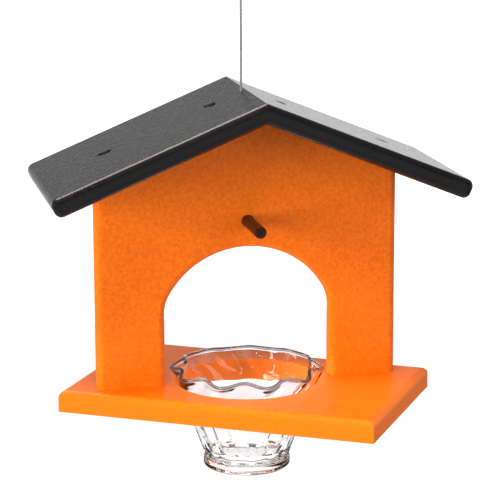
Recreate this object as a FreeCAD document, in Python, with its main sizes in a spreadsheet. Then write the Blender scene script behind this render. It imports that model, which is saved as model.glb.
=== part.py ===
import FreeCAD
import Part
import math
import os
import Sketcher

# Hanging oriole feeder in recycled plastic lumber: an upright panel with an arch stands on the
# diagonal of a base board, two mitred roof boards lie on its gable, a fruit peg goes through
# the panel and a pressed-glass jelly dish hangs in a hole of the base by its flare.
# Millimetres. The model is drawn with z = 0 on the base board's top face and then moved so
# that the origin is inside the top of the hanger loop. X runs along the panel, -Y is the front.

SIZES = {
    # lumber
    "board_thickness": 12.7,
    "edge_round": 4.76,
    # base board
    "base_thickness": 14.3,
    "base_length": 215.9,
    "base_width": 134.2,
    # upright panel
    "panel_width": 203.2,
    "panel_height": 182.2,
    "arch_width": 111.8,
    "arch_height": 91.5,
    "arch_spring": 48.6,
    "haunch_radius": 25.0,
    # roof
    "roof_pitch": 22.17,
    "roof_length": 148.6,
    "roof_depth": 130.0,
    # fruit peg
    "peg_diameter": 7.9,
    "peg_reach": 38.1,
    "peg_land": 8.4,
    "peg_land_proud": 0.3,
    "peg_chamfer": 0.8,
    "peg_above_arch": 17.9,
    # hanger cable, its sleeves and its loop
    "cable_diameter": 1.6,
    "cable_offset": 2.9,
    "strand_gap": 0.1,
    "cable_hole": 3.0,
    "stop_diameter": 4.4,
    "stop_length": 8.0,
    "stop_pocket": 4.8,
    "stop_pocket_depth": 16.0,
    "stop_recess": 2.6,
    "crimp_width": 5.6,
    "crimp_depth": 4.0,
    "crimp_length": 10.0,
    "crimp_height": 262.0,
    "loop_radius": 8.0,
    "loop_spread": 25.0,
    "loop_neck": 1.0,
    "cable_tail": 1.5,
    # jelly dish
    "dish_hole": 96.0,
    "dish_seat_gap": 0.05,
    "dish_foot_bottom": -59.2,
    "dish_foot_top": -52.0,
    "dish_foot_radius": 29.1,
    "dish_foot_recess": 1.7,
    "dish_foot_ring": 7.5,
    "dish_foot_ease": 1.4,
    "dish_floor": -50.0,
    "dish_floor_round": 5.5,
    "dish_waist_radius": 28.2,
    "dish_cone_slope": 0.36,
    "dish_flare_start": -13.0,
    "dish_flare_sag": 0.4,
    "dish_wall": 3.1,
    "dish_rim_wall": 2.6,
    "dish_rim_height": 8.3,
    "dish_rim_rise": 1.2,
    "dish_rim_bead": 1.3,
    "dish_rim_radius": 49.0,
    "dish_ruffle": 2.8,
    "dish_scallops": 10,
    "dish_scallop_points": 4,
    "dish_swirl": 1.2,
    "dish_phase": 3.5,
    "dish_flutes": 15,
    "dish_flute_radius": 9.0,
    "dish_flute_depth": 1.4,
    "dish_flute_low": -50.0,
    "dish_flute_high": -38.5,
}

doc = FreeCAD.newDocument("OrioleFeeder")

# driving dimensions, one row each: name in column A, value with its alias in column B
sheet = doc.addObject("Spreadsheet::Sheet", "Sizes")
for row, (name, value) in enumerate(SIZES.items(), start=1):
    sheet.set(f"A{row}", name)
    sheet.set(f"B{row}", str(value))
    sheet.setAlias(f"B{row}", name)
doc.recompute()


def size(name):
    return float(sheet.get(name))


T = size("board_thickness")
PITCH = math.radians(size("roof_pitch"))
EAVE_HEIGHT = size("panel_height") - size("panel_width") / 2 * math.tan(PITCH)
RIDGE_HEIGHT = size("panel_height") + T / math.cos(PITCH)
PEG_HEIGHT = size("arch_height") + size("peg_above_arch")
BASE_TURN = -math.degrees(math.atan2(size("base_width"), size("base_length")))
CABLE_X = -size("cable_offset")
STRAND_PITCH = size("cable_diameter") + size("strand_gap")
LOOP_X = CABLE_X + STRAND_PITCH / 2

RISE = "tan(Sizes.roof_pitch * 1 deg)"
COS = "cos(Sizes.roof_pitch * 1 deg)"
SIN = "sin(Sizes.roof_pitch * 1 deg)"
EAVE = f"Sizes.panel_height - Sizes.panel_width / 2 * {RISE}"
RIDGE = f"Sizes.panel_height + Sizes.board_thickness / {COS}"
# the crown's radius follows from the arch's width, height, springing and haunches, all tangent
HAUNCH_X = "(Sizes.arch_width / 2 - Sizes.haunch_radius)"
ARCH_RISE = "(Sizes.arch_height - Sizes.arch_spring)"
CROWN_RADIUS = (f"({HAUNCH_X}^2 + {ARCH_RISE}^2 - Sizes.haunch_radius^2)"
                f" / (2 * ({ARCH_RISE} - Sizes.haunch_radius))")


def loop_route():
    """Returns the cable's corner-free route as runs and arcs in the plane y = 0."""
    r = size("loop_radius")
    spread = math.radians(size("loop_spread"))
    bottom = size("panel_height") + size("stop_recess") - size("stop_length") - size("cable_tail")
    neck = size("crimp_height") + size("crimp_length") + size("loop_neck")
    # the run between the neck's bend and the loop's round
    run = (r * (2 * math.cos(spread) - 1) - STRAND_PITCH / 2) / math.sin(spread)
    x, z = CABLE_X, bottom
    points = [(x, z), (x, neck)]

    def place(cx, cz, angle):
        return cx + r * math.cos(angle), cz + r * math.sin(angle)

    # neck bend to the left, straight run, round over the top, run, neck bend back
    mid = place(CABLE_X - r, neck, spread / 2)
    end = place(CABLE_X - r, neck, spread)
    arcs = [(points[1], mid, end)]
    start = (end[0] - run * math.sin(spread), end[1] + run * math.cos(spread))
    top_z = start[1] + r * math.sin(spread)
    mirror = 2 * LOOP_X
    arcs.append((start, (LOOP_X, top_z + r), (mirror - start[0], start[1])))
    arcs.append(((mirror - end[0], end[1]), (mirror - mid[0], mid[1]), (mirror - CABLE_X, neck)))
    tail = (mirror - CABLE_X, size("crimp_height") - size("cable_tail"))
    return points[0], arcs, tail, top_z + r


ROUTE_START, ROUTE_ARCS, ROUTE_TAIL, LOOP_TOP = loop_route()
# the origin is where a hook bears: on the inside of the loop's top
ORIGIN = FreeCAD.Vector(LOOP_X, 0, LOOP_TOP - size("cable_diameter") / 2)
HANG = FreeCAD.Placement(-ORIGIN, FreeCAD.Rotation())
# turns z to point to the front
ACROSS = FreeCAD.Rotation(FreeCAD.Vector(1, 0, 0), 90)
PARTS = []
# the ruffle at the seat as a share of the rim's, and a flute's lower radius as one of its upper
SEAT_WAVE_SHARE = 0.57
FLUTE_TAPER = 0.85
# a flare ring drawn through points strays less than this from the turned bowl that it meets
RING_TOLERANCE = 1e-3


def keep(obj, node):
    """Names a finished sub-part and puts it in the list that is written out."""
    obj.Label = node
    PARTS.append(obj)
    return obj


def new_body(name):
    body = doc.addObject("PartDesign::Body", name)
    planes = {plane.Role: plane for plane in body.Origin.OriginFeatures}
    return body, planes


def new_sketch(body, plane, name):
    sketch = body.newObject("Sketcher::SketchObject", name)
    sketch.AttachmentSupport = (plane, [""])
    sketch.MapMode = "FlatFace"
    return sketch


# a cut that has to go right through a board is this long
THROUGH = "Sizes.board_thickness * 2"


def pin(sketch, geo, pos, x=None, z=None):
    """Holds a sketch point at signed distances from the sketch's origin, each a sheet expression.

    A distance is (sign, expression), 0 for a point on the axis, or None for free.
    """
    # a sketch numbers its own horizontal axis -1 and its vertical axis -2
    origin = (-1, 1)
    for kind, axis, rule in (("DistanceX", -2, x), ("DistanceY", -1, z)):
        if rule is None:
            continue
        if rule == 0:
            sketch.addConstraint(Sketcher.Constraint("PointOnObject", geo, pos, axis))
            continue
        sign, text = rule
        value = abs(sketch.getPoint(geo, pos)[0 if kind == "DistanceX" else 1])
        ends = origin + (geo, pos) if sign > 0 else (geo, pos) + origin
        number = sketch.addConstraint(Sketcher.Constraint(kind, *ends, value))
        sketch.setExpression(f"Constraints[{number}]", text)


def chain(sketch, points):
    """Draws a closed outline of straight lines through the points, joined end to end."""
    count = len(points)
    for i, (x, z) in enumerate(points):
        nx, nz = points[(i + 1) % count]
        sketch.addGeometry(Part.LineSegment(FreeCAD.Vector(x, z, 0), FreeCAD.Vector(nx, nz, 0)))
    for i in range(count):
        sketch.addConstraint(Sketcher.Constraint("Coincident", i, 2, (i + 1) % count, 1))


def pad(body, sketch, name, length="Sizes.board_thickness", side="Symmetric", reverse=False):
    feature = body.newObject("PartDesign::Pad", name)
    feature.Profile = sketch
    feature.SideType = side
    feature.Reversed = reverse
    feature.setExpression("Length", length)
    doc.recompute()
    return feature


def round_edges(body, name, wanted, radius="Sizes.edge_round"):
    """Rounds the edges of the body's last feature for which wanted(edge) holds."""
    base = body.Tip
    names = [f"Edge{i}" for i, edge in enumerate(base.Shape.Edges, start=1) if wanted(edge)]
    feature = body.newObject("PartDesign::Fillet", name)
    feature.Base = (base, names)
    feature.setExpression("Radius", radius)
    doc.recompute()
    return feature


def bore(body, name, diameter, length, place, rotation=None):
    """Cuts a cylinder that starts at a place and runs along the rotated z axis."""
    feature = body.newObject("PartDesign::SubtractiveCylinder", name)
    feature.setExpression("Radius", f"({diameter}) / 2")
    feature.setExpression("Height", length)
    feature.Placement = FreeCAD.Placement(place, rotation or FreeCAD.Rotation())
    doc.recompute()
    return feature


def along(edge):
    """Returns the unit direction between an edge's ends."""
    step = edge.lastVertex().Point - edge.firstVertex().Point
    return step.normalize() if step.Length > 1e-6 else step


SIDES = {"left": -1, "right": 1}


# base board: a plain rectangle turned so that its diagonal lies under the panel
def make_base():
    body, planes = new_body("BaseBoard")
    half_l, half_w = size("base_length") / 2, size("base_width") / 2
    outline = new_sketch(body, planes["XY_Plane"], "BaseOutline")
    chain(outline, [(-half_l, -half_w), (half_l, -half_w), (half_l, half_w), (-half_l, half_w)])
    for line, kind in enumerate(("Horizontal", "Vertical", "Horizontal", "Vertical")):
        outline.addConstraint(Sketcher.Constraint(kind, line))
    pin(outline, 0, 1, (-1, "Sizes.base_length / 2"), (-1, "Sizes.base_width / 2"))
    pin(outline, 2, 1, (1, "Sizes.base_length / 2"), (1, "Sizes.base_width / 2"))
    pad(body, outline, "BaseBlank", "Sizes.base_thickness", side="One side", reverse=True)

    def top_edge(edge):
        return all(abs(v.Point.z) < 1e-6 for v in edge.Vertexes)
    round_edges(body, "BaseTopRound", top_edge)
    bore(body, "DishHole", "Sizes.dish_hole", "Sizes.base_thickness * 2",
         FreeCAD.Vector(0, 0, -1.5 * size("base_thickness")))
    turned = FreeCAD.Rotation(FreeCAD.Vector(0, 0, 1), BASE_TURN)
    body.Placement = FreeCAD.Placement(-ORIGIN, turned)
    keep(body, "base_board")


# upright panel: gable top, and an arch of three tangent arcs on straight jambs
def make_panel():
    body, planes = new_body("ArchPanel")
    half = size("panel_width") / 2
    jamb = size("arch_width") / 2
    small, spring = size("haunch_radius"), size("arch_spring")
    haunch_x, rise = jamb - small, size("arch_height") - spring
    big = (haunch_x ** 2 + rise ** 2 - small ** 2) / (2 * (rise - small))
    centre = size("arch_height") - big
    meet = math.atan2(spring - centre, haunch_x)
    top = size("panel_height")

    sketch = new_sketch(body, planes["XZ_Plane"], "PanelOutline")
    normal = FreeCAD.Vector(0, 0, 1)

    def line(x0, z0, x1, z1):
        sketch.addGeometry(Part.LineSegment(FreeCAD.Vector(x0, z0, 0), FreeCAD.Vector(x1, z1, 0)))

    def arc(x, z, radius, start, end):
        circle = Part.Circle(FreeCAD.Vector(x, z, 0), normal, radius)
        sketch.addGeometry(Part.ArcOfCircle(circle, start, end))

    line(-half, 0, -jamb, 0)
    line(-jamb, 0, -jamb, spring)
    arc(-haunch_x, spring, small, math.pi - meet, math.pi)
    arc(0, centre, big, meet, math.pi - meet)
    arc(haunch_x, spring, small, 0, meet)
    line(jamb, spring, jamb, 0)
    line(jamb, 0, half, 0)
    line(half, 0, half, EAVE_HEIGHT)
    line(half, EAVE_HEIGHT, 0, top)
    line(0, top, -half, EAVE_HEIGHT)
    line(-half, EAVE_HEIGHT, -half, 0)
    (foot_l, jamb_l, haunch_l, crown, haunch_r, jamb_r,
     foot_r, side_r, gable_r, gable_l, side_l) = range(11)

    def join(kind, first, first_end, second, second_end):
        sketch.addConstraint(Sketcher.Constraint(kind, first, first_end, second, second_end))

    join("Coincident", foot_l, 2, jamb_l, 1)
    join("Tangent", jamb_l, 2, haunch_l, 2)
    join("Tangent", haunch_l, 1, crown, 2)
    join("Tangent", crown, 1, haunch_r, 2)
    join("Tangent", haunch_r, 1, jamb_r, 1)
    for first, second in ((jamb_r, foot_r), (foot_r, side_r), (side_r, gable_r), (gable_r, gable_l),
                          (gable_l, side_l), (side_l, foot_l)):
        join("Coincident", first, 2, second, 1)
    for upright in (jamb_l, jamb_r, side_l, side_r):
        sketch.addConstraint(Sketcher.Constraint("Vertical", upright))
    pin(sketch, foot_l, 1, (-1, "Sizes.panel_width / 2"), 0)
    pin(sketch, foot_l, 2, (-1, "Sizes.arch_width / 2"), 0)
    pin(sketch, foot_r, 1, (1, "Sizes.arch_width / 2"), 0)
    pin(sketch, foot_r, 2, (1, "Sizes.panel_width / 2"), 0)
    pin(sketch, gable_r, 2, 0, (1, "Sizes.panel_height"))
    pin(sketch, gable_r, 1, None, (1, EAVE))
    pin(sketch, gable_l, 2, None, (1, EAVE))
    pin(sketch, crown, 3, 0, (1, f"Sizes.arch_height - {CROWN_RADIUS}"))
    for geo, text in ((crown, CROWN_RADIUS), (haunch_l, "Sizes.haunch_radius"),
                      (haunch_r, "Sizes.haunch_radius")):
        value = big if geo == crown else small
        number = sketch.addConstraint(Sketcher.Constraint("Radius", geo, value))
        sketch.setExpression(f"Constraints[{number}]", text)
    pad(body, sketch, "PanelBlank")

    def rounded(edge):
        if abs(along(edge).y) > 0.5:
            return False
        middle = edge.valueAt((edge.FirstParameter + edge.LastParameter) / 2)
        outer = abs(abs(middle.x) - half) < 0.1
        arch = middle.z < size("arch_height") + 0.1 and abs(middle.x) < jamb + 0.1 and middle.z > 0.1
        return outer or arch
    round_edges(body, "PanelRound", rounded)
    bore(body, "PegHole", "Sizes.peg_land", THROUGH, FreeCAD.Vector(0, T, PEG_HEIGHT), ACROSS)
    bore(body, "StopPocket", "Sizes.stop_pocket", "Sizes.stop_pocket_depth * 2",
         FreeCAD.Vector(CABLE_X, 0, top - size("stop_pocket_depth")))
    body.Placement = HANG
    keep(body, "arch_panel")


# roof boards: mitred at the ridge, every other edge and corner rounded
def make_roof(side_name):
    side = SIDES[side_name]
    body, planes = new_body(f"Roof{side_name.title()}")
    length = size("roof_length")
    eave_x = length * math.cos(PITCH)
    eave_z = RIDGE_HEIGHT - length * math.sin(PITCH)
    under_x = eave_x - T * math.sin(PITCH)
    under_z = eave_z - T * math.cos(PITCH)
    section = new_sketch(body, planes["XZ_Plane"], f"Roof{side_name.title()}Section")
    chain(section, [(0, RIDGE_HEIGHT), (side * eave_x, eave_z), (side * under_x, under_z),
                    (0, size("panel_height"))])
    pin(section, 0, 1, 0, (1, RIDGE))
    pin(section, 1, 1, (side, f"Sizes.roof_length * {COS}"), (1, f"{RIDGE} - Sizes.roof_length * {SIN}"))
    pin(section, 2, 1, (side, f"Sizes.roof_length * {COS} - Sizes.board_thickness * {SIN}"),
        (1, f"{RIDGE} - Sizes.roof_length * {SIN} - Sizes.board_thickness * {COS}"))
    pin(section, 3, 1, 0, (1, "Sizes.panel_height"))
    pad(body, section, f"Roof{side_name.title()}Blank", "Sizes.roof_depth")

    def off_the_ridge(edge):
        return any(abs(v.Point.x) > 1e-6 for v in edge.Vertexes)
    round_edges(body, f"Roof{side_name.title()}Round", off_the_ridge)
    if side_name == "left":
        # the cable comes out just left of the ridge line; its stop sits in a recess below
        bore(body, "StopRecess", "Sizes.stop_pocket", "Sizes.stop_recess + Sizes.board_thickness",
             FreeCAD.Vector(CABLE_X, 0, size("panel_height") - T))
        bore(body, "CableHole", "Sizes.cable_hole", f"{THROUGH} + Sizes.board_thickness",
             FreeCAD.Vector(CABLE_X, 0, size("panel_height") - T))
    body.Placement = HANG
    keep(body, f"roof_board_{side_name}")


# fruit peg: one dowel through the panel, with eased ends, for half an orange on each side; its
# middle is a little thicker, a land that holds tight in the panel's hole
def make_peg():
    dowel = doc.addObject("Part::Cylinder", "PegDowel")
    dowel.setExpression("Radius", "Sizes.peg_diameter / 2")
    dowel.setExpression("Height", "Sizes.board_thickness + 2 * Sizes.peg_reach")
    doc.recompute()
    eased = doc.addObject("Part::Chamfer", "PegEased")
    eased.Base = dowel
    ease = size("peg_chamfer")
    eased.Edges = [(i, ease, ease) for i, edge in enumerate(dowel.Shape.Edges, start=1)
                   if isinstance(edge.Curve, Part.Circle)]
    land = doc.addObject("Part::Cylinder", "PegLand")
    land.setExpression("Radius", "Sizes.peg_land / 2")
    land.setExpression("Height", "Sizes.board_thickness + 2 * Sizes.peg_land_proud")
    land.setExpression("Placement.Base.z", "Sizes.peg_reach - Sizes.peg_land_proud")
    peg = doc.addObject("Part::Fuse", "FruitPeg")
    peg.Base = eased
    peg.Tool = land
    rear_end = FreeCAD.Vector(0, T / 2 + size("peg_reach"), PEG_HEIGHT)
    peg.Placement = HANG.multiply(FreeCAD.Placement(rear_end, ACROSS))
    keep(peg, "fruit_peg")


# hanger: steel cable up from the ridge to a crimped loop
def make_cable():
    def at(point):
        return FreeCAD.Vector(point[0], 0, point[1])

    edges = []
    here = at(ROUTE_START)
    for start, middle, end in ROUTE_ARCS:
        edges.append(Part.LineSegment(here, at(start)).toShape())
        edges.append(Part.Arc(at(start), at(middle), at(end)).toShape())
        here = at(end)
    edges.append(Part.LineSegment(here, at(ROUTE_TAIL)).toShape())
    spine = Part.Wire(edges)
    radius = size("cable_diameter") / 2
    section = Part.Wire(Part.makeCircle(radius, at(ROUTE_START), FreeCAD.Vector(0, 0, 1)))
    cable = doc.addObject("Part::Feature", "HangerCable")
    cable.Shape = spine.makePipeShell([section], True, True)
    cable.Placement = HANG
    print("origin", [round(value, 4) for value in ORIGIN])
    print("cable length", round(spine.Length, 2), "loop radius", size("loop_radius"),
          "volume ratio", round(cable.Shape.Volume / (math.pi * radius ** 2 * spine.Length), 4))
    keep(cable, "hanger_cable")

    # crimped sleeve round both strands below the loop
    width, depth = size("crimp_width"), size("crimp_depth")
    flat = (width - depth) / 2
    low = size("crimp_height")
    blank = doc.addObject("Part::Box", "CrimpFlat")
    blank.Length = 2 * flat
    blank.setExpression("Width", "Sizes.crimp_depth")
    blank.setExpression("Height", "Sizes.crimp_length")
    blank.Placement.Base = FreeCAD.Vector(LOOP_X - flat, -depth / 2, low)
    rounds = []
    for name, sign in (("CrimpLeft", -1), ("CrimpRight", 1)):
        end = doc.addObject("Part::Cylinder", name)
        end.setExpression("Radius", "Sizes.crimp_depth / 2")
        end.setExpression("Height", "Sizes.crimp_length")
        end.Placement.Base = FreeCAD.Vector(LOOP_X + sign * flat, 0, low)
        rounds.append(end)
    outer = doc.addObject("Part::MultiFuse", "CrimpOuter")
    outer.Shapes = [blank] + rounds
    outer.Refine = True
    strands = []
    for name, x in (("StrandUp", CABLE_X), ("StrandDown", CABLE_X + STRAND_PITCH)):
        hole = doc.addObject("Part::Cylinder", name)
        hole.setExpression("Radius", "Sizes.cable_diameter / 2")
        hole.setExpression("Height", "Sizes.crimp_length")
        hole.Placement.Base = FreeCAD.Vector(x, 0, low)
        strands.append(hole)
    # the pressed sleeve leaves a narrow slit between its two channels
    slit = doc.addObject("Part::Box", "CrimpSlit")
    slit.Length = STRAND_PITCH
    slit.setExpression("Width", "Sizes.cable_diameter / 2")
    slit.setExpression("Height", "Sizes.crimp_length")
    slit.Placement.Base = FreeCAD.Vector(CABLE_X, -size("cable_diameter") / 4, low)
    both = doc.addObject("Part::MultiFuse", "CrimpStrands")
    both.Shapes = strands + [slit]
    crimp = doc.addObject("Part::Cut", "LoopCrimp")
    crimp.Base = outer
    crimp.Tool = both
    crimp.Placement = HANG
    keep(crimp, "loop_crimp")

    # stop sleeve crimped on the lower end, up against the roof board
    stop_z = size("panel_height") + size("stop_recess") - size("stop_length")
    barrel = doc.addObject("Part::Cylinder", "StopBarrel")
    barrel.setExpression("Radius", "Sizes.stop_diameter / 2")
    barrel.setExpression("Height", "Sizes.stop_length")
    core = doc.addObject("Part::Cylinder", "StopBore")
    core.setExpression("Radius", "Sizes.cable_diameter / 2")
    core.setExpression("Height", "Sizes.stop_length")
    stop = doc.addObject("Part::Cut", "StopSleeve")
    stop.Base = barrel
    stop.Tool = core
    seat = FreeCAD.Placement(FreeCAD.Vector(CABLE_X, 0, stop_z), FreeCAD.Rotation())
    stop.Placement = HANG.multiply(seat)
    keep(stop, "stop_sleeve")


# jelly dish: pressed glass with a fluted cone, a swirled flare and a ruffled rim
def swirl_angle(height):
    return size("dish_phase") + size("dish_swirl") * (height - size("dish_rim_height"))


def dish_ring(radius, ruffle, height, rise=0.0, inset=0.0, lift=0.0):
    """Returns points round one level of the flare; its crests turn with the height."""
    scallops = int(size("dish_scallops"))
    count = scallops * int(size("dish_scallop_points"))
    turn = math.radians(swirl_angle(height))
    points = []
    for i in range(count):
        angle = 2 * math.pi * i / count
        wave = math.cos(scallops * angle)
        reach = radius - ruffle * wave - inset
        points.append(FreeCAD.Vector(reach * math.cos(angle + turn), reach * math.sin(angle + turn),
                                     height + rise * wave + lift))
    return points


def ring_curve(points):
    """Returns the closed curve through a ring's points, evenly spaced in its parameter."""
    curve = Part.BSplineCurve()
    spacing = [i / len(points) for i in range(len(points) + 1)]
    curve.interpolate(Points=points, PeriodicFlag=True, Parameters=spacing)
    return curve


def skin(rings):
    """Returns the surface over the rings; neighbouring skins share their common ring exactly."""
    curves = [ring_curve(ring) for ring in rings]
    climbs = [0.0]
    for low, high in zip(rings, rings[1:]):
        climbs.append(climbs[-1] + (high[0] - low[0]).Length)
    levels = [climb / climbs[-1] for climb in climbs]
    around = curves[0]
    columns = []
    for i in range(1, around.NbPoles + 1):
        column = Part.BSplineCurve()
        column.interpolate(Points=[curve.getPole(i) for curve in curves], Parameters=levels)
        columns.append(column)
    up = columns[0]
    surface = Part.BSplineSurface()
    surface.buildFromPolesMultsKnots(
        [column.getPoles() for column in columns], around.getMultiplicities(),
        up.getMultiplicities(), around.getKnots(), up.getKnots(), True, False,
        around.Degree, up.Degree)
    return surface.toShape()


def make_dish_flare():
    """Returns the ruffled flare as one solid, from its flat lower ring to the beaded rim."""
    low = size("dish_flare_start")
    rim_z, rim_r = size("dish_rim_height"), size("dish_rim_radius")
    ruffle, rise = size("dish_ruffle"), size("dish_rim_rise")
    wall, rim_wall = size("dish_wall"), size("dish_rim_wall")
    low_r = size("dish_waist_radius") + size("dish_cone_slope") * (low - size("dish_foot_top"))
    # the flare's lobes meet the hole at the board's top edge
    seat_wave = ruffle * SEAT_WAVE_SHARE
    seat = size("dish_hole") / 2 - size("dish_seat_gap") - seat_wave
    levels = [
        (low_r, 0.0, low),
        ((low_r + seat) / 2 - size("dish_flare_sag"), seat_wave / 2, low / 2),
        (seat, seat_wave, 0.0),
    ]
    outside = [dish_ring(*level) for level in levels]
    inside = [dish_ring(*level, 0.0, wall) for level in levels]
    rim_out = dish_ring(rim_r, ruffle, rim_z, rise)
    rim_top = dish_ring(rim_r, ruffle, rim_z, rise, rim_wall / 2, size("dish_rim_bead"))
    rim_in = dish_ring(rim_r, ruffle, rim_z, rise, rim_wall)
    skins = [
        skin(outside + [rim_out]),
        skin([rim_out, rim_top]),
        skin([rim_top, rim_in]),
        skin(inside + [rim_in]),
    ]
    # a skin's second edge is its lower ring
    ends = [Part.Wire(wall_skin.Edges[1]) for wall_skin in (skins[0], skins[-1])]
    shell = Part.makeShell(skins + [Part.Face(ends)])
    shell.sewShape()
    return Part.makeSolid(shell)


def make_dish_bowl():
    """Turns the bowl below the flare: recessed foot with eased edges, cone and floor."""
    body, planes = new_body("DishBowl")
    radius, low, high = (size(f"dish_foot_{name}") for name in ("radius", "bottom", "top"))
    recess, ring, ease = (size(f"dish_foot_{name}") for name in ("recess", "ring", "ease"))
    waist, slope, wall = size("dish_waist_radius"), size("dish_cone_slope"), size("dish_wall")
    flare_z, floor_z, corner = size("dish_flare_start"), size("dish_floor"), size("dish_floor_round")
    brim = waist + slope * (flare_z - high)
    turn_r = waist + slope * (floor_z + corner - high) - wall
    profile = new_sketch(body, planes["XZ_Plane"], "DishBowlProfile")
    chain(profile, [(0, low + recess), (radius - ring, low + recess),
                    (radius - ring + recess, low), (radius - ease, low), (radius, low + ease),
                    (radius, high - ease / 2), (radius - ease / 2, high), (waist, high),
                    (brim, flare_z), (brim - wall, flare_z), (turn_r, floor_z + corner),
                    (turn_r - corner, floor_z), (0, floor_z)])
    down, up = "-Sizes.dish_foot_bottom", "-Sizes.dish_foot_top"
    out, step, soft = "Sizes.dish_foot_radius", "Sizes.dish_foot_recess", "Sizes.dish_foot_ease"
    inner = f"{out} - Sizes.dish_foot_ring"
    neck, lean = "Sizes.dish_waist_radius", "Sizes.dish_cone_slope"
    edge = f"{neck} + {lean} * (Sizes.dish_flare_start - Sizes.dish_foot_top)"
    bend = "Sizes.dish_floor_round"
    bend_r = (f"{neck} + {lean} * (Sizes.dish_floor + {bend} - Sizes.dish_foot_top)"
              " - Sizes.dish_wall")
    brim_down, floor_down = "-Sizes.dish_flare_start", "-Sizes.dish_floor"
    places = [
        (0, f"{down} - {step}"),
        ((1, inner), f"{down} - {step}"),
        ((1, f"{inner} + {step}"), down),
        ((1, f"{out} - {soft}"), down),
        ((1, out), f"{down} - {soft}"),
        ((1, out), f"{up} + {soft} / 2"),
        ((1, f"{out} - {soft} / 2"), up),
        ((1, neck), up),
        ((1, edge), brim_down),
        ((1, f"{edge} - Sizes.dish_wall"), brim_down),
        ((1, bend_r), f"{floor_down} - {bend}"),
        ((1, f"{bend_r} - {bend}"), floor_down),
        (0, floor_down),
    ]
    for point, (x, z) in enumerate(places):
        pin(profile, point, 1, x, (-1, z))
    turned = body.newObject("PartDesign::Revolution", "DishBowlTurned")
    turned.Profile = profile
    turned.ReferenceAxis = (profile, ["V_Axis"])
    turned.Angle = 360
    doc.recompute()
    return body


def make_flute_cutters():
    """Returns the cutters of the flutes: leaning tapers with a round top, one beside another."""
    foot_top, slope = size("dish_foot_top"), size("dish_cone_slope")
    top, depth = size("dish_flute_radius"), size("dish_flute_depth")
    bottom = top * FLUTE_TAPER
    lean = math.atan(slope)

    def beside_wall(height, radius):
        wall = size("dish_waist_radius") + slope * (height - foot_top)
        return FreeCAD.Vector(wall + (radius - depth) / math.cos(lean), 0, height)

    low = beside_wall(size("dish_flute_low"), bottom)
    high = beside_wall(size("dish_flute_high"), top)
    axis = high - low
    flute = Part.makeCone(bottom, top, axis.Length, low, axis).fuse(Part.makeSphere(top, high))
    count = int(size("dish_flutes"))
    cutters = []
    for i in range(count):
        cutter = flute.copy()
        cutter.rotate(FreeCAD.Vector(), FreeCAD.Vector(0, 0, 1), 360 * (i + 0.5) / count)
        cutters.append(cutter)
    return Part.makeCompound(cutters)


def make_dish():
    bowl = make_dish_bowl()
    cup = doc.addObject("Part::Feature", "DishCup")
    cup.Shape = bowl.Shape.fuse([make_dish_flare()], RING_TOLERANCE)
    flutes = doc.addObject("Part::Feature", "DishFlutes")
    flutes.Shape = make_flute_cutters()
    dish = doc.addObject("Part::Cut", "JellyDish")
    dish.Base = cup
    dish.Tool = flutes
    dish.Placement = HANG
    keep(dish, "jelly_dish")


make_base()
make_panel()
for roof_side in SIDES:
    make_roof(roof_side)
make_peg()
make_cable()
make_dish()
doc.recompute()

for obj in doc.Objects:
    if "Invalid" in obj.State or "Error" in obj.State:
        raise RuntimeError(f"{obj.Name} failed: {obj.State}")
for part in PARTS:
    shape = part.Shape
    if shape.isNull() or not shape.isValid() or len(shape.Solids) != 1:
        raise RuntimeError(f"{part.Label} is not one valid solid")

os.makedirs("parts", exist_ok=True)
for part in PARTS:
    part.Shape.exportStep(f"parts/{part.Label}.step")
    box = part.Shape.BoundBox
    corners = (box.XMin, box.YMin, box.ZMin, box.XMax, box.YMax, box.ZMax)
    print(part.Label, round(part.Shape.Volume), [round(value, 1) for value in corners])
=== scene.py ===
import math
import random
import bpy
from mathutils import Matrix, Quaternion, Vector


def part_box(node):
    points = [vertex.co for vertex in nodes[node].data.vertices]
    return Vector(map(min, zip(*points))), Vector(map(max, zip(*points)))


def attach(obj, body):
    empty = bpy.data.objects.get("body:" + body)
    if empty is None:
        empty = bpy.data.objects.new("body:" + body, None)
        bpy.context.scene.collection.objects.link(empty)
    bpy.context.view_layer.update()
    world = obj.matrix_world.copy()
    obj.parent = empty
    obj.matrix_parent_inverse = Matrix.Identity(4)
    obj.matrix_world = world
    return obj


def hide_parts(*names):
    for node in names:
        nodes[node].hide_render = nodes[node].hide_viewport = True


# Hanging oriole feeder: orange and black plastic lumber boards, a dark fruit peg, a pressed-glass
# jelly dish in the base board and a stranded steel hanger. Metres, in the frame of the parts.

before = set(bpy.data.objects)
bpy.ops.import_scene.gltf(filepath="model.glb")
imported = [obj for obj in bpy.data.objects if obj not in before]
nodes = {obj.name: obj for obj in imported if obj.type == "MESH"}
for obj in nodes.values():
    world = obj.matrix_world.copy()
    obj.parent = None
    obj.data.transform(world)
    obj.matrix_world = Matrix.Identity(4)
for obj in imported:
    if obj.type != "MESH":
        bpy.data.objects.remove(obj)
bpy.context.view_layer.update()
BODY = "root"
MM = 0.001
WHITE = (1, 1, 1)
chance = random.Random(7)

# places that follow from the frame
base_low, base_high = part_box("base_board")
panel_low, panel_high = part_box("arch_panel")
dish_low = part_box("jelly_dish")[0]
BASE_TOP = base_high.z
CENTRE_X = (panel_low.x + panel_high.x) / 2

# camera: fitted to the photograph's board corners
CAMERA_AT = (-0.30067, -1.3545, 0.10706)
CAMERA_YAW = 0.2218
CAMERA_PITCH = 0.225
CAMERA_ROLL = -0.0031
SENSOR = 36.0
FOCAL_PIXELS = 2150.0
PICTURE_PIXELS = 500


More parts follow.
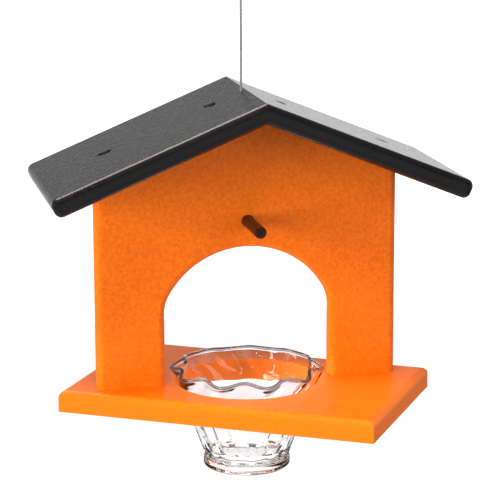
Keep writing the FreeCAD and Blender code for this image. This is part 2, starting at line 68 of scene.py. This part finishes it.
def make_camera():
    data = bpy.data.cameras.new("camera")
    data.sensor_width = SENSOR
    data.lens = FOCAL_PIXELS / PICTURE_PIXELS * SENSOR
    data.clip_start, data.clip_end = 0.05, 50.0
    camera = bpy.data.objects.new("camera", data)
    level = math.cos(CAMERA_PITCH)
    forward = Vector((math.sin(CAMERA_YAW) * level, math.cos(CAMERA_YAW) * level,
                      -math.sin(CAMERA_PITCH)))
    camera.location = CAMERA_AT
    camera.rotation_mode = "QUATERNION"
    camera.rotation_quaternion = forward.to_track_quat("-Z", "Y") @ Quaternion((0, 0, 1), CAMERA_ROLL)
    bpy.context.scene.collection.objects.link(camera)
    bpy.context.scene.camera = camera


# node helpers

def math_node(tree, operation, first, second):
    """Adds a two-input maths node; an input is a socket or a number."""
    node = tree.nodes.new("ShaderNodeMath")
    node.operation = operation
    for socket, value in zip(node.inputs, (first, second)):
        if isinstance(value, (int, float)):
            socket.default_value = value
        else:
            tree.links.new(value, socket)
    return node.outputs[0]


def spread(tree, source, low, high, start=0.3, stop=0.7):
    """Maps start to stop onto low to high, held at both ends."""
    node = tree.nodes.new("ShaderNodeMapRange")
    node.inputs["From Min"].default_value = start
    node.inputs["From Max"].default_value = stop
    node.inputs["To Min"].default_value = low
    node.inputs["To Max"].default_value = high
    tree.links.new(source, node.inputs["Value"])
    return node.outputs["Result"]


# surroundings: a white sheet behind the object, dimmer beside and above it, a dim room in front
BACKDROP = 1.0
ROOM = 0.22
AMBIENT = 0.7
SHEET_GLOSS = 1.4
ABOVE_SHEET = 0.27
BESIDE_SHEET = 0.45
LEFT_OF_SHEET = 0.25
# where the sheet ends, as shares of a direction: from the first number to the second
FRONT_EDGE = (-0.45, 0.1)
TOP_EDGE = (0.04, 0.24)
RIGHT_EDGE = (0.42, 0.6)
LEFT_EDGE = (-0.3, 0.1)
FLOOR_DROP = 1.5
FLOOR_SIZE = 12.0
FLOOR_COLOUR = 0.8
FLOOR_IN_GLOSS = 0.3
FLOOR_GLOW = 0.62


def make_world():
    world = bpy.data.worlds.new("studio")
    bpy.context.scene.world = world
    world.use_nodes = True
    tree = world.node_tree
    tree.nodes.clear()
    place = tree.nodes.new("ShaderNodeTexCoord")
    split = tree.nodes.new("ShaderNodeSeparateXYZ")
    tree.links.new(place.outputs["Generated"], split.inputs[0])
    path = tree.nodes.new("ShaderNodeLightPath")
    level = spread(tree, split.outputs["Y"], ROOM, BACKDROP, *FRONT_EDGE)
    softer = spread(tree, path.outputs["Is Diffuse Ray"], 1.0, AMBIENT, 0.0, 1.0)
    strength = math_node(tree, "MULTIPLY", level, softer)
    # the sheet's edges are for gloss alone: diffuse light comes from all of the surroundings evenly
    gloss = math_node(tree, "SUBTRACT", 1.0, path.outputs["Is Diffuse Ray"])
    edges = (spread(tree, split.outputs["Z"], SHEET_GLOSS, ABOVE_SHEET, *TOP_EDGE),
             spread(tree, split.outputs["X"], 1.0, BESIDE_SHEET, *RIGHT_EDGE),
             spread(tree, split.outputs["X"], LEFT_OF_SHEET, 1.0, *LEFT_EDGE))
    for edge in edges:
        kept = math_node(tree, "POWER", edge, gloss)
        strength = math_node(tree, "MULTIPLY", strength, kept)
    strength = math_node(tree, "MAXIMUM", strength, path.outputs["Is Camera Ray"])
    glow = tree.nodes.new("ShaderNodeBackground")
    glow.inputs["Color"].default_value = (*WHITE, 1)
    tree.links.new(strength, glow.inputs["Strength"])
    out = tree.nodes.new("ShaderNodeOutputWorld")
    tree.links.new(glow.outputs[0], out.inputs["Surface"])


# lamps: place, size, power, colour, and whether gloss mirrors it and whether it lights the boards
WARM = (1.0, 0.93, 0.8)
LAMPS = {
    "key": ((-2.35, -1.05, 0.0), 1.2, 75.0, WARM, False, True),
    "top": ((-0.3, -0.6, 1.3), 0.8, 34.0, WARM, False, True),
    "fill": ((1.5, -1.9, 0.1), 1.4, 19.0, WARM, False, True),
    "rear": ((-0.4, 1.0, 1.3), 1.0, 20.0, (1.0, 0.95, 0.86), True, False),
}
# glints: tall narrow windows in front that only the glass mirrors
GLINTS = {"glint_right": (0.35, -1.0, 0.75), "glint_left": (-0.75, -0.8, 0.75)}
GLINT_WIDTH, GLINT_HEIGHT, GLINT_POWER = 0.06, 1.4, 5.0


def make_lamp(name, aim, place, size, power, color, glossy, diffuse):
    """Adds a square lamp that faces a point."""
    data = bpy.data.lights.new(name, "AREA")
    data.shape = "SQUARE"
    data.size = size
    data.energy = power
    data.color = color
    lamp = bpy.data.objects.new(name, data)
    lamp.location = place
    lamp.visible_glossy = glossy
    lamp.visible_diffuse = diffuse
    lamp.rotation_mode = "QUATERNION"
    lamp.rotation_quaternion = (Vector(aim) - Vector(place)).to_track_quat("-Z", "Y")
    bpy.context.scene.collection.objects.link(lamp)
    return lamp


def make_glints(dish):
    """Adds the windows that show as streaks down the swirls of the dish."""
    takers = bpy.data.collections.new("glint_takers")
    takers.objects.link(dish)
    for name, place in GLINTS.items():
        lamp = make_lamp(name, (DISH_X, 0, BASE_TOP), place, GLINT_WIDTH, GLINT_POWER, WHITE, True, False)
        lamp.data.shape = "RECTANGLE"
        lamp.data.size_y = GLINT_HEIGHT
        lamp.visible_camera = False
        lamp.visible_transmission = False
        lamp.light_linking.receiver_collection = takers


def make_lamps():
    middle = (CENTRE_X, 0, (panel_low.z + panel_high.z) / 2)
    for name, settings in LAMPS.items():
        make_lamp(name, middle, *settings)


def make_floor():
    mesh = bpy.data.meshes.new("floor")
    half = FLOOR_SIZE / 2
    level = dish_low.z - FLOOR_DROP
    corners = [(-half, -half, level), (half, -half, level), (half, half, level), (-half, half, level)]
    mesh.from_pydata(corners, [], [(0, 1, 2, 3)])
    floor = bpy.data.objects.new("floor", mesh)
    bpy.context.scene.collection.objects.link(floor)
    material, tree, shader = new_material("floor_white")
    shader.inputs["Roughness"].default_value = 1.0
    shader.inputs["Specular IOR Level"].default_value = 0.0
    # the eye and the glass see the floor as white, gloss sees it dim; its shading keeps the shadow
    shader.inputs["Emission Color"].default_value = (*WHITE, 1)
    path = tree.nodes.new("ShaderNodeLightPath")
    gloss = math_node(tree, "SUBTRACT", path.outputs["Is Glossy Ray"], path.outputs["Is Transmission Ray"])
    shade = spread(tree, gloss, FLOOR_COLOUR, FLOOR_IN_GLOSS, 0.0, 1.0)
    tree.links.new(shade, shader.inputs["Base Color"])
    seen = math_node(tree, "MAXIMUM", path.outputs["Is Camera Ray"], path.outputs["Is Transmission Ray"])
    tree.links.new(math_node(tree, "MULTIPLY", seen, FLOOR_GLOW), shader.inputs["Emission Strength"])
    mesh.materials.append(material)


# materials
# the index of both the glass and the plastics
IOR = 1.5
# lumber's textures: their scales, their shares of the mottle and where its colours lie
CLOUD_SCALE, SPECK_SCALE, FINE_SCALE, PITS_SCALE = 30.0, 430.0, 1400.0, 260.0
CLOUD_SHARE, SPECK_SHARE = 0.2, 0.8
MOTTLE_STOPS = (0.36, 0.5, 0.64)
SKIN_STRENGTH, FINE_DEPTH, PITS_DEPTH = 0.3, 0.0003, 0.001
# cut edges: an axis, and a normal's share of it where an edge begins and where it is full
FRONT_EDGES = ("Y", 0.15, 0.5)
UPRIGHT_EDGES = ("Z", 0.85, 0.5)


def new_material(name):
    material = bpy.data.materials.new(name)
    material.use_nodes = True
    tree = material.node_tree
    shader = tree.nodes["Principled BSDF"]
    return material, tree, shader


def noise(tree, scale, detail=2.0, roughness=0.5, stretch=(1, 1, 1)):
    """Adds object-space noise and returns its height output."""
    place = tree.nodes.new("ShaderNodeTexCoord")
    mapping = tree.nodes.new("ShaderNodeMapping")
    mapping.inputs["Scale"].default_value = stretch
    texture = tree.nodes.new("ShaderNodeTexNoise")
    texture.inputs["Scale"].default_value = scale
    texture.inputs["Detail"].default_value = detail
    texture.inputs["Roughness"].default_value = roughness
    tree.links.new(place.outputs["Object"], mapping.inputs["Vector"])
    tree.links.new(mapping.outputs["Vector"], texture.inputs["Vector"])
    return texture.outputs["Fac"]


def ramp(tree, source, stops):
    """Adds a colour ramp over a height; each stop is (position, colour)."""
    node = tree.nodes.new("ShaderNodeValToRGB")
    elements = node.color_ramp.elements
    for i, (position, color) in enumerate(stops):
        element = elements[i] if i < len(elements) else elements.new(position)
        element.position = position
        element.color = (*color, 1)
    tree.links.new(source, node.inputs["Fac"])
    return node.outputs["Color"]


def bump(tree, shader, layers):
    """Stacks bumps on the shader; each layer is (height, strength, distance)."""
    normal = None
    for height, strength, distance in layers:
        node = tree.nodes.new("ShaderNodeBump")
        node.inputs["Strength"].default_value = strength
        node.inputs["Distance"].default_value = distance
        tree.links.new(height, node.inputs["Height"])
        if normal is not None:
            tree.links.new(normal, node.inputs["Normal"])
        normal = node.outputs["Normal"]
    tree.links.new(normal, shader.inputs["Normal"])


def calmed(tree, height, share):
    """Draws a height in towards its middle by a share of its swing."""
    swing = math_node(tree, "MULTIPLY", math_node(tree, "SUBTRACT", height, 0.5), share)
    return math_node(tree, "ADD", swing, 0.5)


def lumber(name, dark, middle, pale, gloss, specular, skin, edge_share, edges):
    """Plastic lumber: a mottled colour of three tones and a fine pitted skin.

    gloss is the middle roughness and skin the depth of the pits. The board's cut edges keep
    edge_share of the mottle and the pits.
    """
    material, tree, shader = new_material(name)
    cloud = noise(tree, CLOUD_SCALE, detail=3.0, roughness=0.6)
    speck = noise(tree, SPECK_SCALE, detail=3.0, roughness=0.65)
    fine = noise(tree, FINE_SCALE)
    pits = noise(tree, PITS_SCALE)
    if edge_share < 1:
        place = tree.nodes.new("ShaderNodeTexCoord")
        split = tree.nodes.new("ShaderNodeSeparateXYZ")
        tree.links.new(place.outputs["Normal"], split.inputs[0])
        turned = math_node(tree, "ABSOLUTE", split.outputs[edges[0]], 0.0)
        share = spread(tree, turned, 1.0, edge_share, *edges[1:])
        cloud, speck, fine, pits = [calmed(tree, height, share) for height in (cloud, speck, fine, pits)]
    mottle = math_node(tree, "ADD", math_node(tree, "MULTIPLY", cloud, CLOUD_SHARE),
                       math_node(tree, "MULTIPLY", speck, SPECK_SHARE))
    color = ramp(tree, mottle, zip(MOTTLE_STOPS, (dark, middle, pale)))
    tree.links.new(color, shader.inputs["Base Color"])
    tree.links.new(spread(tree, speck, gloss - 0.06, gloss + 0.08), shader.inputs["Roughness"])
    shader.inputs["IOR"].default_value = IOR
    shader.inputs["Specular IOR Level"].default_value = specular
    bump(tree, shader, [(fine, SKIN_STRENGTH * skin, FINE_DEPTH), (pits, SKIN_STRENGTH * skin, PITS_DEPTH)])
    return material


def make_orange(name, edge_share=1.0):
    return lumber(name, (0.82, 0.14, 0.002), (0.92, 0.175, 0.003), (1.0, 0.21, 0.005),
                  gloss=0.42, specular=0.35, skin=0.4, edge_share=edge_share, edges=UPRIGHT_EDGES)


def make_black():
    return lumber("black_lumber", (0.003, 0.003, 0.0045), (0.0075, 0.007, 0.0095), (0.017, 0.0155, 0.0175),
                  gloss=0.24, specular=0.5, skin=0.62, edge_share=0.3, edges=FRONT_EDGES)


def make_peg_material():
    material, tree, shader = new_material("peg_plastic")
    grain = noise(tree, 300.0, detail=3.0, stretch=(1, 0.15, 1))
    color = ramp(tree, grain, [(0.35, (0.014, 0.004, 0.003)), (0.65, (0.04, 0.012, 0.009))])
    tree.links.new(color, shader.inputs["Base Color"])
    shader.inputs["Specular IOR Level"].default_value = 0.3
    tree.links.new(spread(tree, grain, 0.3, 0.45), shader.inputs["Roughness"])
    bump(tree, shader, [(grain, 0.2, 0.0003)])
    return material


def metal(name, color, rough, streak, metallic=1.0):
    """Metal with a fine grain, drawn out by streak."""
    material, tree, shader = new_material(name)
    shader.inputs["Metallic"].default_value = metallic
    grain = noise(tree, 900.0, detail=3.0, stretch=streak)
    shade = tuple(value * 0.75 for value in color)
    tint = ramp(tree, grain, [(0.35, shade), (0.65, color)])
    tree.links.new(tint, shader.inputs["Base Color"])
    tree.links.new(spread(tree, grain, rough - 0.06, rough + 0.1), shader.inputs["Roughness"])
    bump(tree, shader, [(grain, 0.15, 0.0001)])
    return material


def make_glass(name, color):
    """Clear pressed glass with the faint ripple that its mould leaves."""
    material, tree, shader = new_material(name)
    shader.inputs["Base Color"].default_value = (*color, 1)
    shader.inputs["Roughness"].default_value = 0.0
    shader.inputs["IOR"].default_value = IOR
    shader.inputs["Transmission Weight"].default_value = 1.0
    bump(tree, shader, [(noise(tree, 55.0, detail=1.0), 0.12, 0.0015)])
    return material


def dress(node, material):
    data = nodes[node].data
    data.materials.clear()
    data.materials.append(material)


def add_piece(name, mesh, material):
    """Links a finished mesh as a piece of the feeder, with its material."""
    piece = bpy.data.objects.new(name, mesh)
    bpy.context.scene.collection.objects.link(piece)
    mesh.materials.append(material)
    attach(piece, BODY)
    return piece


# jelly dish in millimetres: x and y from the dish's axis, z from the base board's top face
DISH_X = (base_low.x + base_high.x) / 2
FOOT_LOW, FOOT_TOP, FOOT_RADIUS = -59.2, -52.0, 29.1
RECESS, FOOT_RING = 1.7, 7.5
FLOOR, FLOOR_ROUND = -50.0, 5.5
WAIST, SLOPE = 28.2, 0.36
FLARE_START, FLARE_SAG = -13.0, 0.4
WALL, RIM_WALL = 3.1, 2.6
SEAT_RADIUS, SEAT_WAVE = 46.354, 1.596
RIM_HEIGHT, RIM_RADIUS, RIM_WAVE, RIM_RISE = 7.6, 49.0, 2.8, 1.2
# the rim's bead starts this far round below its sides, and the wall's neck below it is thinner
BEAD_RADIUS, BEAD_BELOW = 1.3, math.radians(40)
SCALLOPS, SWIRL, PHASE = 10, 1.2, 3.5
FLUTES, FLUTE_DEPTH = 15, 1.4
FLUTE_LOW, FLUTE_HIGH = -50.0, -38.5
FLUTE_LOW_RADIUS, FLUTE_HIGH_RADIUS = 7.65, 9.0
# a flute's edges are softened, and its lower end fades in from this far below it over this height
FLUTE_SOFT, FLUTE_FADE_BELOW, FLUTE_FADE = 0.1, 1.6, 1.2
# the foot's roundings; the wall's middle is closed by a small disc
FOOT_ROUND, FOOT_EDGE, FOOT_EASE, HUB_RADIUS = 1.4, 0.7, 0.5, 2.0
# heights between the cone's rings, the finer ones up to a little above the flutes
FLUTE_STEP, CONE_STEP, FLUTE_STEPS_END = 0.42, 1.4, 5.0
AROUND = 480


def cone_radius(z):
    return WAIST + SLOPE * (z - FOOT_TOP)


def eased(points, cut, steps=4):
    """Rounds the inner corners of a run of (radius, height) points."""
    run = [points[0]]
    for before, corner, after in zip(points, points[1:], points[2:]):
        corner = Vector(corner)
        ends = []
        for other in (before, after):
            side = Vector(other) - corner
            ends.append(corner + side.normalized() * min(cut, side.length * 0.45))
        for i in range(steps + 1):
            t = i / steps
            run.append(tuple(ends[0].lerp(corner, t).lerp(corner.lerp(ends[1], t), t)))
    run.append(points[-1])
    return run


def flute_depth(angle, z):
    """Returns how deep the flutes are cut at one place on the cone, with softened edges."""
    share = min(max((z - FLUTE_LOW) / (FLUTE_HIGH - FLUTE_LOW), 0.0), 1.0)
    radius = FLUTE_LOW_RADIUS + share * (FLUTE_HIGH_RADIUS - FLUTE_LOW_RADIUS)
    step = 2 * math.pi / FLUTES
    aside = ((angle / step) % 1.0 - 0.5) * step * cone_radius(z)
    over = max(z - FLUTE_HIGH, 0.0) * math.hypot(1, SLOPE)
    reach = radius ** 2 - aside ** 2 - over ** 2
    depth = math.sqrt(max(reach, 0.0)) - (radius - FLUTE_DEPTH)
    if depth < 20 * FLUTE_SOFT:
        depth = FLUTE_SOFT * math.log1p(math.exp(depth / FLUTE_SOFT))
    fade = min(max((z - FLUTE_LOW + FLUTE_FADE_BELOW) / FLUTE_FADE, 0.0), 1.0)
    return depth * fade * fade * (3 - 2 * fade)


def through(values, u):
    """Returns the cubic through four values at the flare's levels."""
    total = 0.0
    for i, (at_i, value) in enumerate(zip(FLARE_AT, values)):
        weight = 1.0
        for j, at_j in enumerate(FLARE_AT):
            if j != i:
                weight *= (u - at_j) / (at_i - at_j)
        total += weight * value
    return total


# the flare's levels: where each lies on the way up, its radius, ruffle and height
FLARE_AT = (0.0, 0.3, 0.61, 1.0)
FLARE_RADII = (cone_radius(FLARE_START), (cone_radius(FLARE_START) + SEAT_RADIUS) / 2 - FLARE_SAG,
               SEAT_RADIUS, RIM_RADIUS)
FLARE_WAVES = (0.0, SEAT_WAVE / 2, SEAT_WAVE, RIM_WAVE)
FLARE_HEIGHTS = (FLARE_START, FLARE_START / 2, 0.0, RIM_HEIGHT)
FLARE_RISES = (0.0, 0.0, 0.0, RIM_RISE)
FLARE_STEPS = 30
BEAD_STEPS = 16
# how much thinner the wall is on each side below the bead, and where on the flare that begins
NECK = BEAD_RADIUS * (1 - math.cos(BEAD_BELOW))
NECK_START, NECK_LENGTH = 0.8, 0.2
# the wall grows to its full thickness over this share of the flare, down to the seat
WALL_GROWTH = 0.39


def neck(u):
    """Returns how much the wall narrows on each side towards the bead."""
    share = min(max((u - NECK_START) / NECK_LENGTH, 0.0), 1.0)
    return NECK * share * share * (3 - 2 * share)


def flare_ring(u, inset=0.0, lift=0.0):
    """Returns one ring of the swirled flare as points round the axis."""
    radius = through(FLARE_RADII, u) - inset
    wave, rise = through(FLARE_WAVES, u), through(FLARE_RISES, u)
    height = through(FLARE_HEIGHTS, u)
    turn = math.radians(PHASE + SWIRL * (height - RIM_HEIGHT))
    ring = []
    for i in range(AROUND):
        angle = 2 * math.pi * i / AROUND
        swing = math.cos(SCALLOPS * angle)
        reach = radius - wave * swing
        ring.append((reach * math.cos(angle + turn), reach * math.sin(angle + turn),
                     height + rise * swing + lift))
    return ring


def plain_ring(radius, z, fluted=False):
    """Returns one ring of the turned bowl, in step with the flare's lowest ring."""
    turn = math.radians(PHASE + SWIRL * (FLARE_START - RIM_HEIGHT))
    ring = []
    for i in range(AROUND):
        angle = 2 * math.pi * i / AROUND + turn
        reach = radius - (flute_depth(angle, z) if fluted else 0.0)
        ring.append((reach * math.cos(angle), reach * math.sin(angle), z))
    return ring


def dish_rings():
    """Returns the wall's rings, up outside and down inside, and the number of the bead's first."""
    ring_in = FOOT_RADIUS - FOOT_RING
    foot = eased([(HUB_RADIUS, FOOT_LOW + RECESS), (ring_in, FOOT_LOW + RECESS),
                  (ring_in + RECESS, FOOT_LOW), (FOOT_RADIUS - FOOT_ROUND, FOOT_LOW),
                  (FOOT_RADIUS, FOOT_LOW + FOOT_ROUND), (FOOT_RADIUS, FOOT_TOP - FOOT_EDGE),
                  (FOOT_RADIUS - FOOT_EDGE, FOOT_TOP), (WAIST + 0.02, FOOT_TOP + 0.05)], FOOT_EASE)
    rings = [plain_ring(radius, z) for radius, z in foot]
    z = FOOT_TOP + 0.4
    while z < FLARE_START - 0.2:
        rings.append(plain_ring(cone_radius(z), z, fluted=True))
        z += FLUTE_STEP if z < FLUTE_HIGH + FLUTE_STEPS_END else CONE_STEP
    for i in range(FLARE_STEPS + 1):
        u = i / FLARE_STEPS
        rings.append(flare_ring(u, neck(u)))
    bead_row = len(rings) - 1
    for i in range(1, BEAD_STEPS):
        turn = -BEAD_BELOW + (math.pi + 2 * BEAD_BELOW) * i / BEAD_STEPS
        lift = BEAD_RADIUS * (math.sin(turn) + math.sin(BEAD_BELOW))
        rings.append(flare_ring(1.0, RIM_WALL / 2 - BEAD_RADIUS * math.cos(turn), lift))
    for i in range(FLARE_STEPS + 1):
        u = 1 - i / FLARE_STEPS
        wall = RIM_WALL + (WALL - RIM_WALL) * min((1 - u) / WALL_GROWTH, 1.0)
        rings.append(flare_ring(u, wall - neck(u)))
    turn_r = cone_radius(FLOOR + FLOOR_ROUND) - WALL
    inside = eased([(cone_radius(FLARE_START) - WALL, FLARE_START), (turn_r, FLOOR + FLOOR_ROUND),
                    (turn_r - FLOOR_ROUND, FLOOR), (HUB_RADIUS, FLOOR)], FLOOR_ROUND, 6)
    rings += [plain_ring(radius, z) for radius, z in inside[1:]]
    return rings, bead_row


def make_dish(material, bead_shade_material):
    rings, bead_row = dish_rings()
    points = [point for ring in rings for point in ring]
    faces = []
    for row in range(len(rings) - 1):
        for i in range(AROUND):
            low, high = row * AROUND, (row + 1) * AROUND
            after = (i + 1) % AROUND
            faces.append((low + i, low + after, high + after, high + i))
    for ring, flip in ((0, True), (len(rings) - 1, False)):
        hub = len(points)
        points.append((0.0, 0.0, rings[ring][0][2]))
        for i in range(AROUND):
            here, after = ring * AROUND + i, ring * AROUND + (i + 1) % AROUND
            faces.append((after, here, hub) if flip else (here, after, hub))
    mesh = bpy.data.meshes.new("glass_dish")
    mesh.from_pydata([(DISH_X + x * MM, y * MM, BASE_TOP + z * MM) for x, y, z in points], [], faces)
    mesh.polygons.foreach_set("use_smooth", [True] * len(mesh.polygons))
    mesh.update()
    dish = add_piece("glass_dish", mesh, material)
    # painted shade: the bead's faces get grey-tinted glass, standing for how the thick bead looks greyer
    # than the thin wall
    mesh.materials.append(bead_shade_material)
    for row in range(bead_row, bead_row + BEAD_STEPS):
        for face in mesh.polygons[row * AROUND:(row + 1) * AROUND]:
            face.material_index = 1
    # lamps light the hole's wall through the clear dish
    dish.visible_shadow = False
    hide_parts("jelly_dish")
    return dish


# hanger cable: control points of its centreline in millimetres, loop side by side with its mirror
CABLE_D = 1.6
CABLE_START = (-0.85, -123.78)
CABLE_HALF = [
    (-0.85, -27.9),
    (-0.85, -24.3),
    (-2.35, -21.1),
    (-6.08, -13.1),
    (-8.43, -8.06),
    (-7.14, -2.65),
    (-2.79, 0.8),
]
CABLE_END = (0.85, -38.6)
STRANDS = 6
STRAND_D = CABLE_D / 3
LAY_LENGTH = 9.0
STRAND_SIDES = 8
STRAND_STEP = 0.45


def cable_line():
    """Returns points along the cable's centreline, read from one NURBS spline."""
    back = [(-x, z) for x, z in reversed(CABLE_HALF)]
    points = [CABLE_START] + CABLE_HALF + back + [CABLE_END]
    curve = bpy.data.curves.new("hanger_cable_line", "CURVE")
    curve.dimensions = "3D"
    spline = curve.splines.new("NURBS")
    spline.points.add(len(points) - 1)
    for point, (x, z) in zip(spline.points, points):
        point.co = (x * MM, 0.0, z * MM, 1)
    spline.order_u = 3
    spline.use_endpoint_u = True
    curve.resolution_u = 48
    holder = bpy.data.objects.new("hanger_cable_line", curve)
    mesh = bpy.data.meshes.new_from_object(holder)
    line = [vertex.co.copy() for vertex in mesh.vertices]
    bpy.data.objects.remove(holder)
    return line


def even_steps(line, step):
    """Returns the line's points at even distances, each with its direction and its distance."""
    total = sum((b - a).length for a, b in zip(line, line[1:]))
    count = round(total / step)
    steps, walked, i = [], 0.0, 0
    for k in range(count + 1):
        goal = total * k / count
        while i < len(line) - 2 and walked + (line[i + 1] - line[i]).length < goal:
            walked += (line[i + 1] - line[i]).length
            i += 1
        run = line[i + 1] - line[i]
        steps.append((line[i] + run.normalized() * (goal - walked), run.normalized(), goal))
    return steps


def make_cable(material):
    line = cable_line()
    steps = even_steps(line, STRAND_STEP * MM)
    across = Vector((0, 1, 0))
    points, faces = [], []
    for strand in range(STRANDS + 1):
        offset = 0.0 if strand == STRANDS else STRAND_D * MM
        first = len(points)
        for place, direction, goal in steps:
            beside = direction.cross(across)
            lay = 2 * math.pi * (strand / STRANDS + goal / (LAY_LENGTH * MM))
            middle = place + offset * (math.cos(lay) * across + math.sin(lay) * beside)
            for k in range(STRAND_SIDES):
                turn = 2 * math.pi * k / STRAND_SIDES
                reach = STRAND_D / 2 * MM
                points.append(middle + reach * (math.cos(turn) * across + math.sin(turn) * beside))
        for row in range(len(steps) - 1):
            for k in range(STRAND_SIDES):
                low = first + row * STRAND_SIDES
                high = low + STRAND_SIDES
                after = (k + 1) % STRAND_SIDES
                faces.append((low + k, low + after, high + after, high + k))
        last = first + (len(steps) - 1) * STRAND_SIDES
        faces.append(tuple(first + k for k in reversed(range(STRAND_SIDES))))
        faces.append(tuple(last + k for k in range(STRAND_SIDES)))
    mesh = bpy.data.meshes.new("cable_strands")
    mesh.from_pydata(points, [], faces)
    mesh.polygons.foreach_set("use_smooth", [len(face) == 4 for face in faces])
    mesh.update()
    cable = add_piece("cable_strands", mesh, material)
    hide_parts("hanger_cable")


# screws: dark heads flush with the boards, those in the roof each on a ragged near-black plate that paints
# the shade in its countersink; the cross recesses are near-black plates of painted shade as well;
# millimetres
SCREW_DOWN_SLOPE = (25.4, 100.6)
SCREW_UNDER_X = (-90.0, -68.0, 68.0, 90.0)
SINK_SHADE_RADIUS, SINK_SHADE_RAGGED = 4.0, 1.3
ROOF_HEAD_RADIUS, BASE_HEAD_RADIUS = 2.2, 4.0
CROSS_REACH, CROSS_HALF = 1.5, 0.35
SINK_SHADE_PROUD, HEAD_PROUD, CROSS_PROUD = 0.04, 0.09, 0.12
PLATE_FOOT = -0.3
ROOF_PITCH = math.radians(22.17)
RIDGE_Z = panel_high.z + (panel_high.y - panel_low.y) / math.cos(ROOF_PITCH)


def screw_places():
    """Returns each screw's place on a board's face, the face's normal and a direction in it."""
    places = []
    for side in (-1, 1):
        slope = Vector((side * math.cos(ROOF_PITCH), 0, -math.sin(ROOF_PITCH)))
        normal = Vector((side * math.sin(ROOF_PITCH), 0, math.cos(ROOF_PITCH)))
        for reach in SCREW_DOWN_SLOPE:
            places.append((Vector((CENTRE_X, 0, RIDGE_Z)) + reach * MM * slope, normal, slope))
    for x in SCREW_UNDER_X:
        places.append((Vector((CENTRE_X + x * MM, 0, base_low.z)), Vector((0, 0, -1)), Vector((1, 0, 0))))
    return places


def plates(name, outlines, proud):
    """Makes a mesh of thin plates on the screws' places, the roof's first, one for each outline.

    An outline is a closed run of (x, y).
    """
    points, faces = [], []
    for (place, normal, along), outline in zip(screw_places(), outlines):
        across = normal.cross(along)
        first, count = len(points), len(outline)
        for lift in (proud, PLATE_FOOT):
            points += [place + MM * (x * along + y * across + lift * normal) for x, y in outline]
        faces.append(tuple(first + i for i in range(count)))
        faces.append(tuple(first + count + i for i in reversed(range(count))))
        for i in range(count):
            after = (i + 1) % count
            faces.append((first + after, first + i, first + count + i, first + count + after))
    mesh = bpy.data.meshes.new(name)
    mesh.from_pydata(points, [], faces)
    mesh.update()
    return mesh


def round_outline(radius, ragged=0.0, sides=32):
    """Returns a round outline; a ragged one strays in and out by the given amount."""
    run = []
    lean, twist = chance.uniform(0, 2 * math.pi), chance.uniform(0, 2 * math.pi)
    for i in range(sides):
        turn = 2 * math.pi * i / sides
        stray = math.cos(2 * turn + lean) + math.cos(3 * turn + twist) + chance.uniform(-1, 1)
        reach = radius + ragged * 0.5 * stray
        run.append((reach * math.cos(turn), reach * math.sin(turn)))
    return run


def cross_outline(turn):
    """Returns a cross recess's outline, turned."""
    far, near = CROSS_REACH, CROSS_HALF
    corners = [(far, -near), (far, near), (near, near), (near, far), (-near, far), (-near, near),
               (-far, near), (-far, -near), (-near, -near), (-near, -far), (near, -far), (near, -near)]
    return [(x * math.cos(turn) - y * math.sin(turn), x * math.sin(turn) + y * math.cos(turn))
            for x, y in corners]


def make_screws(steel):
    # painted shade: the sinks and the crosses are matte near-black plates standing for the shadow in the
    # countersinks and the cross recesses
    sink_shade, tree, shader = new_material("screw_sink_shade")
    grain = noise(tree, 900.0)
    tree.links.new(ramp(tree, grain, [(0.4, (0.001, 0.001, 0.001)), (0.6, (0.006, 0.005, 0.005))]),
                   shader.inputs["Base Color"])
    shader.inputs["Roughness"].default_value = 0.9
    shader.inputs["Specular IOR Level"].default_value = 0.0
    roof, under = 2 * len(SCREW_DOWN_SLOPE), len(SCREW_UNDER_X)
    sink_shades = [round_outline(SINK_SHADE_RADIUS, SINK_SHADE_RAGGED) for _ in range(roof)]
    heads = [round_outline(radius) for radius in [ROOF_HEAD_RADIUS] * roof + [BASE_HEAD_RADIUS] * under]
    cross_shades = [cross_outline(chance.uniform(0, math.pi)) for _ in range(roof + under)]
    add_piece("screw_sink_shades", plates("screw_sink_shades", sink_shades, SINK_SHADE_PROUD), sink_shade)
    add_piece("screw_heads", plates("screw_heads", heads, HEAD_PROUD), steel)
    add_piece("screw_cross_shades", plates("screw_cross_shades", cross_shades, CROSS_PROUD), sink_shade)


bpy.context.scene.view_settings.view_transform = "Standard"
make_camera()
make_world()
make_lamps()
make_floor()
dress("base_board", make_orange("base_lumber", edge_share=0.3))
dress("arch_panel", make_orange("panel_lumber"))
black = make_black()
for name in ("roof_board_left", "roof_board_right"):
    dress(name, black)
dress("fruit_peg", make_peg_material())
sleeve = metal("sleeve_aluminium", (0.75, 0.75, 0.76), 0.35, (1, 1, 1))
dress("loop_crimp", sleeve)
dress("stop_sleeve", sleeve)
steel = metal("cable_steel", (0.48, 0.49, 0.52), 0.4, (1, 1, 0.2), metallic=0.5)
make_cable(steel)
# the rim's grey-tinted glass is painted shade for the thick bead
dish = make_dish(make_glass("dish_glass", (0.975, 0.975, 0.985)),
                 make_glass("dish_rim_shade_glass", (0.36, 0.38, 0.42)))
make_glints(dish)
make_screws(metal("screw_steel", (0.03, 0.028, 0.026), 0.6, (1, 1, 1)))
